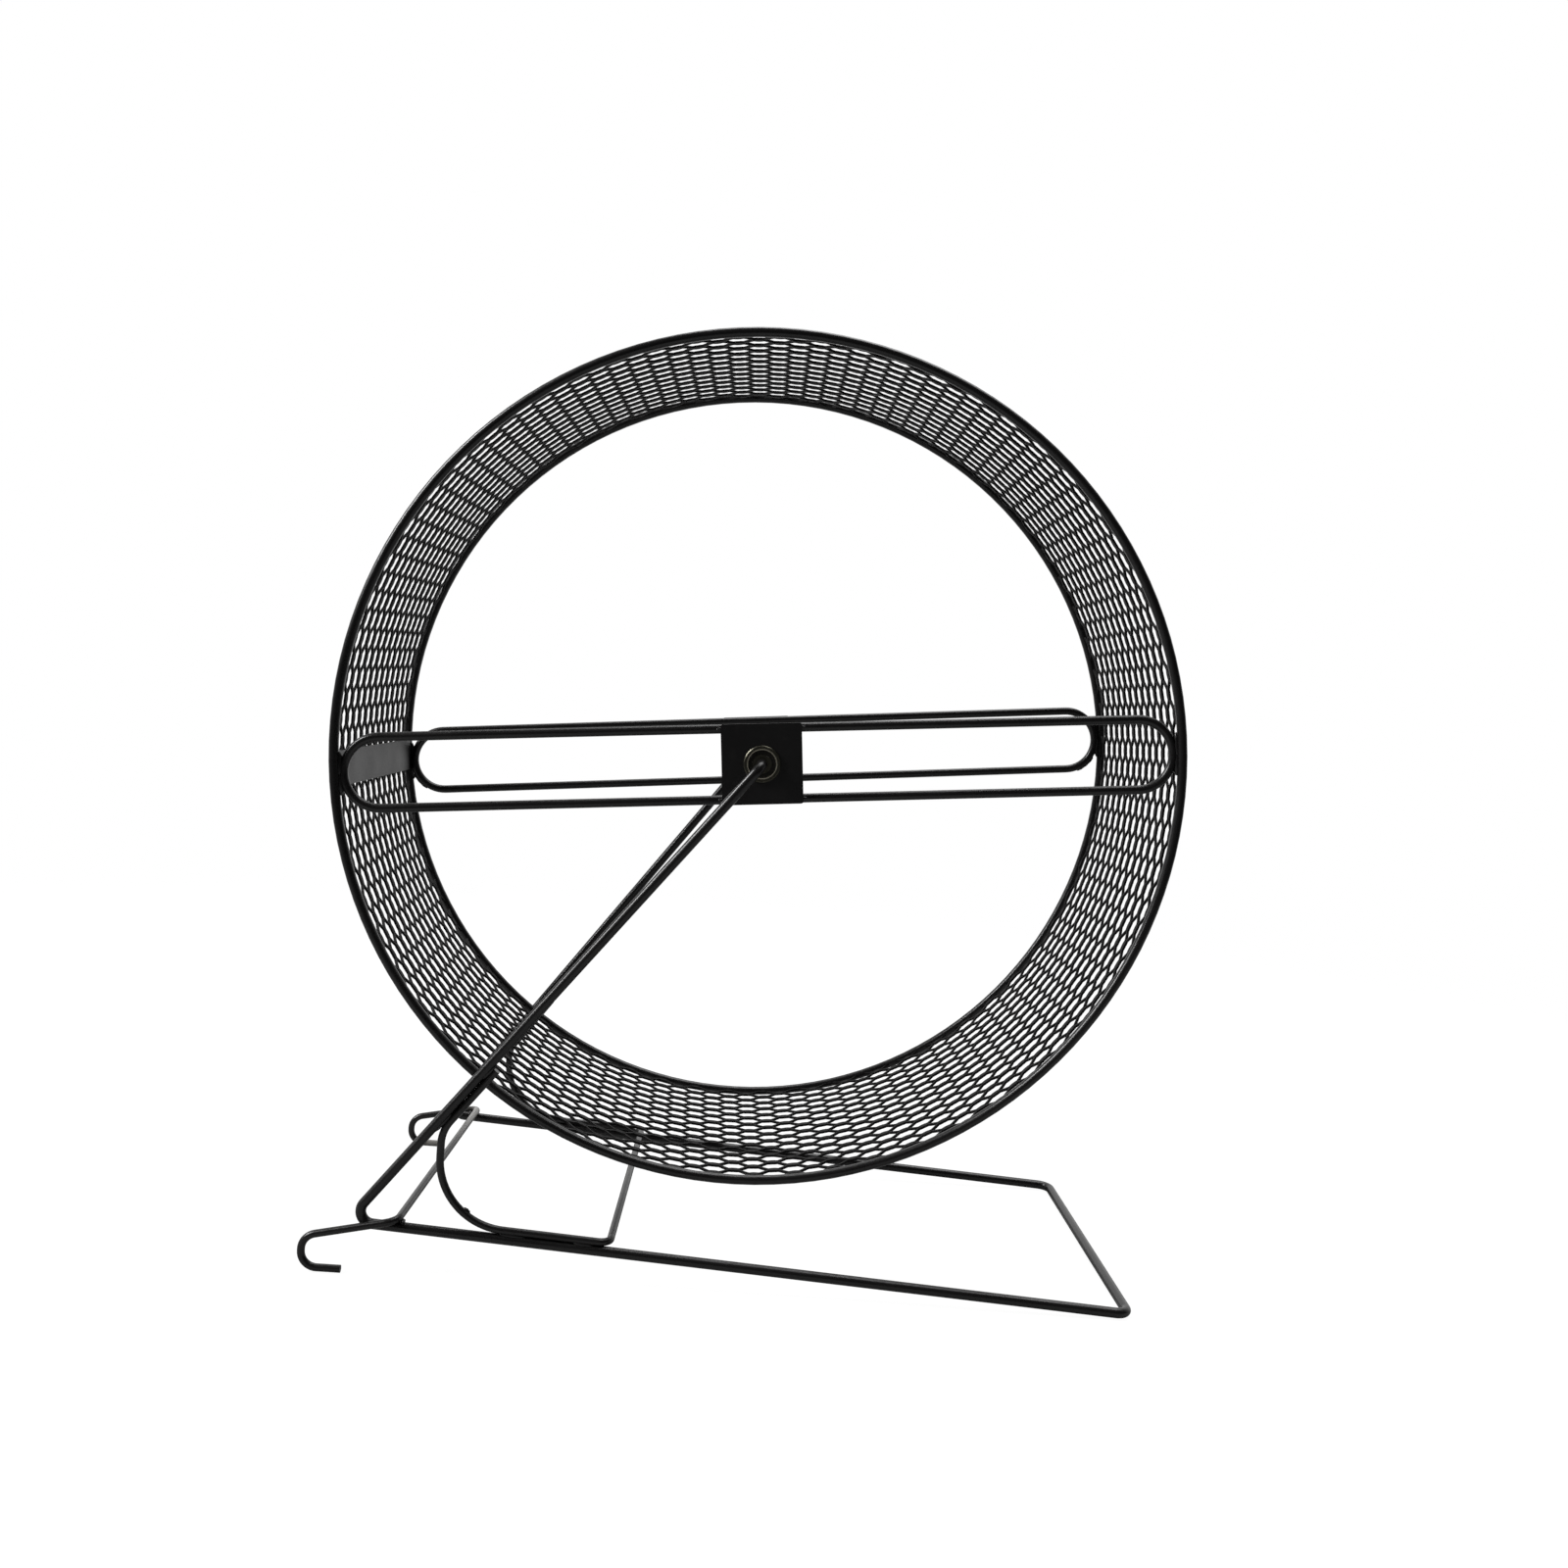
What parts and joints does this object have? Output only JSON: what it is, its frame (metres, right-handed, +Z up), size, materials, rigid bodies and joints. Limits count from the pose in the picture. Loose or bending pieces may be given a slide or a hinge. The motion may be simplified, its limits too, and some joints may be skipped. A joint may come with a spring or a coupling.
{
  "type": "hamster wheel",
  "caption": "Free-standing hamster wheel: expanded metal mesh rolled between two wire rims, turning on ball bearings in a bent wire stand with hooks for cage bars.",
  "frame": {"origin": "on the floor under the middle of the wheel, at the bounding box's bottom centre", "axes": "+Z up; +Y from the front side with the hub seen in the picture to the back, along the wheel's axle; the hooks are towards -X"},
  "size_m": [0.28, 0.1362, 0.3136],
  "materials": {
    "wire_coat": "satin gloss black",
    "mesh_coat": "satin black",
    "plate_coat": "satin black",
    "bearing_steel": "dull"
  },
  "bodies": {
    "stand": {"stand_frame": "wire_coat", "brace_wire": "wire_coat", "hook_wire": "wire_coat", "front_bearing_inner_ring": "bearing_steel", "rear_bearing_inner_ring": "bearing_steel"},
    "wheel": {"front_rim": "wire_coat", "rear_rim": "wire_coat", "running_mesh": "mesh_coat", "seam_plate": "plate_coat", "front_crossbar": "wire_coat", "rear_crossbar": "wire_coat", "front_hub_plate": "plate_coat", "rear_hub_plate": "plate_coat", "front_bearing_outer_ring": "bearing_steel", "rear_bearing_outer_ring": "bearing_steel", "front_bearing_shields": "bearing_steel", "rear_bearing_shields": "bearing_steel", "front_bearing_balls": "bearing_steel", "rear_bearing_balls": "bearing_steel"}
  },
  "joints": [
    {"name": "wheel_spin", "type": "hinge", "parent": "stand", "child": "wheel", "pos_m": [0, 0, 0.1736], "axis": [0, 1, 0], "continuous": true}
  ]
}
